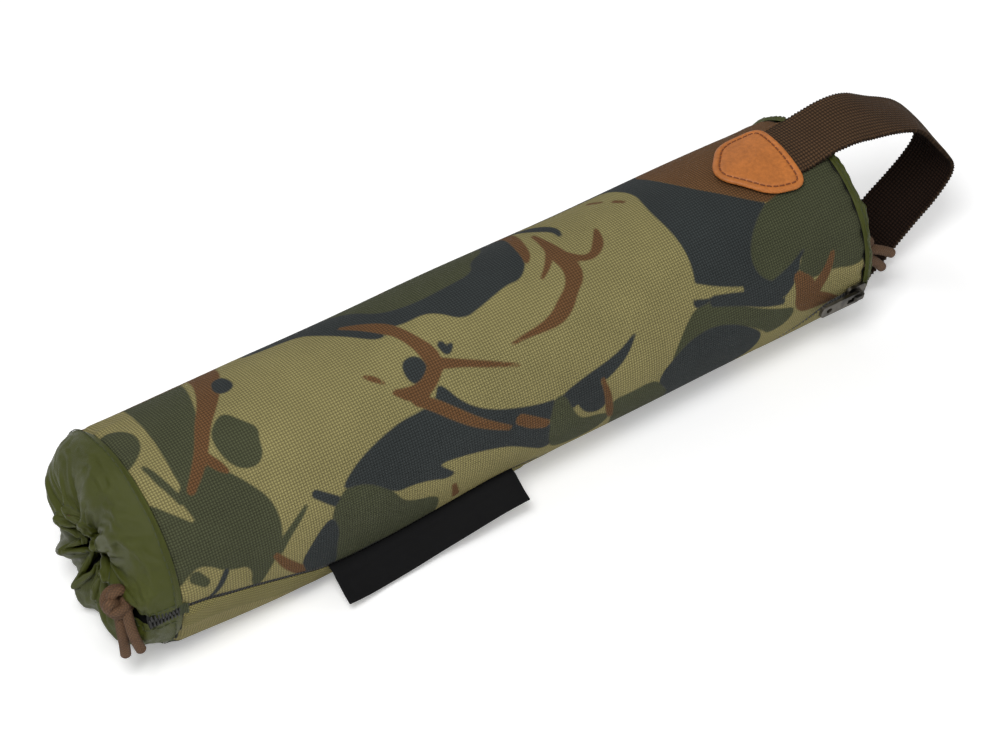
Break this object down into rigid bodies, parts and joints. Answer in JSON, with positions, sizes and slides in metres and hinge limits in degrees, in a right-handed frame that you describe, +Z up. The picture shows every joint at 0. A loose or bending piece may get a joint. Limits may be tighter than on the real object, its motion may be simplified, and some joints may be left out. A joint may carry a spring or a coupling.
{
  "type": "float sleeve",
  "caption": "Zipped camouflage fabric sleeve round a split foam tube, with elastic-drawn cuffs at both ends and a webbing carry loop.",
  "frame": {"origin": "on the resting face, below the middle of the sleeve", "axes": "+X along the tube towards the webbing loop, +Z up through the strap's stitched end, -Y towards the zip"},
  "size_m": [0.3811, 0.0831, 0.0784],
  "materials": {
    "core_foam": "closed-cell foam, matt",
    "camouflage_fabric": "coarse plain weave, printed",
    "cuff_nylon": "fine satin nylon",
    "elastic_cord": "braided cover",
    "zip_tape": "woven tape",
    "zip_coil": "nylon coil",
    "zip_metal": "dark enamel",
    "strap_webbing": "ribbed webbing",
    "patch_leather": "smooth embossed leather",
    "patch_thread": "sewing thread",
    "label_weave": "damask woven tape"
  },
  "bodies": {
    "cover": {"foam_core": "core_foam", "sleeve_panel": "camouflage_fabric", "near_cuff": "cuff_nylon", "far_cuff": "cuff_nylon", "near_hem_cord": "elastic_cord", "far_hem_cord": "elastic_cord", "zip_tape_upper": "zip_tape", "zip_tape_lower": "zip_tape", "zip_coil_upper": "zip_coil", "zip_coil_lower": "zip_coil", "zip_bottom_stop": "zip_metal", "zip_top_stops": "zip_metal", "strap_anchor_top": "strap_webbing", "strap_anchor_bottom": "strap_webbing", "patch": "patch_leather", "patch_stitches": "patch_thread"},
    "strap": {"strap_loop": "strap_webbing"},
    "slider": {"zip_slider": "zip_metal"},
    "pull_tab": {"zip_pull_tab": "zip_metal"},
    "label": {"label": "label_weave"},
    "near_cord_pull": {"near_knot": "elastic_cord", "near_tail_a": "elastic_cord", "near_tail_b": "elastic_cord"},
    "far_cord_pull": {"far_knot": "elastic_cord", "far_tail_a": "elastic_cord", "far_tail_b": "elastic_cord"}
  },
  "joints": [
    {"name": "strap_swing", "type": "hinge", "parent": "cover", "child": "strap", "pos_m": [0.158, -0.002, 0.03666], "axis": [0, 0, 1], "range_deg": [-60, 60]},
    {"name": "zip_slide", "type": "slide", "parent": "cover", "child": "slider", "axis": [-0.9997, -0.0036, 0.0226], "range_m": [0, 0.278]},
    {"name": "pull_tab_hinge", "type": "hinge", "parent": "slider", "child": "pull_tab", "pos_m": [0.14096, -0.03985, 0.02709], "axis": [0.0228, -0.1564, 0.9874], "range_deg": [0, 165]},
    {"name": "label_lift", "type": "hinge", "parent": "cover", "child": "label", "pos_m": [0, -0.03352, 0.01731], "axis": [-1, 0, 0], "range_deg": [-35, 75], "stiffness_Nm_per_rad": 0.004},
    {"name": "near_cord_draw", "type": "slide", "parent": "cover", "child": "near_cord_pull", "axis": [-1, 0, 0], "range_m": [0, 0.02], "stiffness_N_per_m": 150},
    {"name": "far_cord_draw", "type": "slide", "parent": "cover", "child": "far_cord_pull", "axis": [1, 0, 0], "range_m": [0, 0.02], "stiffness_N_per_m": 150}
  ]
}
